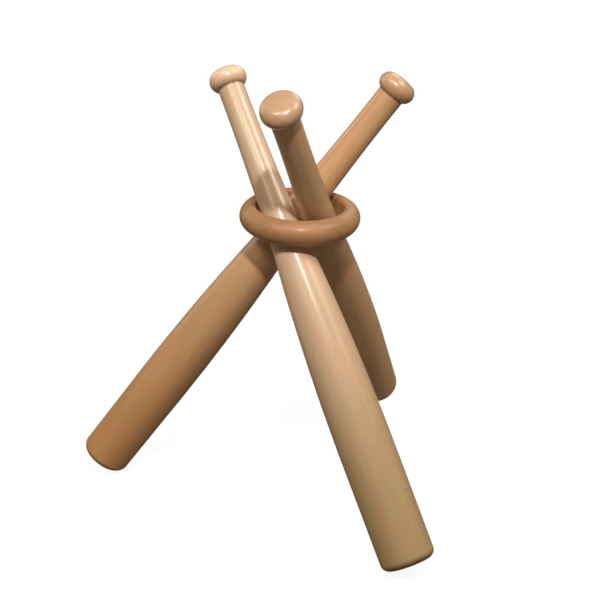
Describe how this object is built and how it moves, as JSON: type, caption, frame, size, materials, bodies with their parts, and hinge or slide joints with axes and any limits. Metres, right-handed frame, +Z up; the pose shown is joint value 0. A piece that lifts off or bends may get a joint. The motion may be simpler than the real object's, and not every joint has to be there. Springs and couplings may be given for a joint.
{
  "type": "ball display stand",
  "caption": "Tripod of miniature turned wooden bats crossed through a wooden ring, standing on the barrel ends with an open cradle for a ball among the knobs.",
  "frame": {"origin": "on the surface the stand rests on, under the crossing of the bats", "axes": "+Z up along the line round which the three bats are alike, +X from it towards the left bat's knob, so the left bat's foot is at -X, and the front bat's foot is towards -Y"},
  "size_m": [0.1164, 0.1249, 0.1334],
  "materials": {
    "bat_wood": "clear gloss lacquer over pale close-grained wood",
    "ring_wood": "clear gloss lacquer over slightly darker wood"
  },
  "bodies": {
    "ring": {"retaining_ring": "ring_wood"},
    "front_bat": {"front_bat": "bat_wood"},
    "rear_bat": {"rear_bat": "bat_wood"},
    "left_bat": {"left_bat": "bat_wood"}
  },
  "joints": [
    {"name": "front_bat_fold", "type": "hinge", "parent": "ring", "child": "front_bat", "pos_m": [-0.00593, -0.00343, 0.08949], "axis": [-0.866, -0.5, 0], "range_deg": [-25, 0]},
    {"name": "rear_bat_fold", "type": "hinge", "parent": "ring", "child": "rear_bat", "pos_m": [0.00593, -0.00343, 0.08949], "axis": [0.866, -0.5, 0], "range_deg": [-25, 0]},
    {"name": "left_bat_fold", "type": "hinge", "parent": "ring", "child": "left_bat", "pos_m": [0, 0.00685, 0.08949], "axis": [0, 1, 0], "range_deg": [-25, 0]}
  ],
  "couplings": [
    {"joint": "rear_bat_fold", "follows": "front_bat_fold", "ratio": 1},
    {"joint": "left_bat_fold", "follows": "front_bat_fold", "ratio": 1}
  ]
}
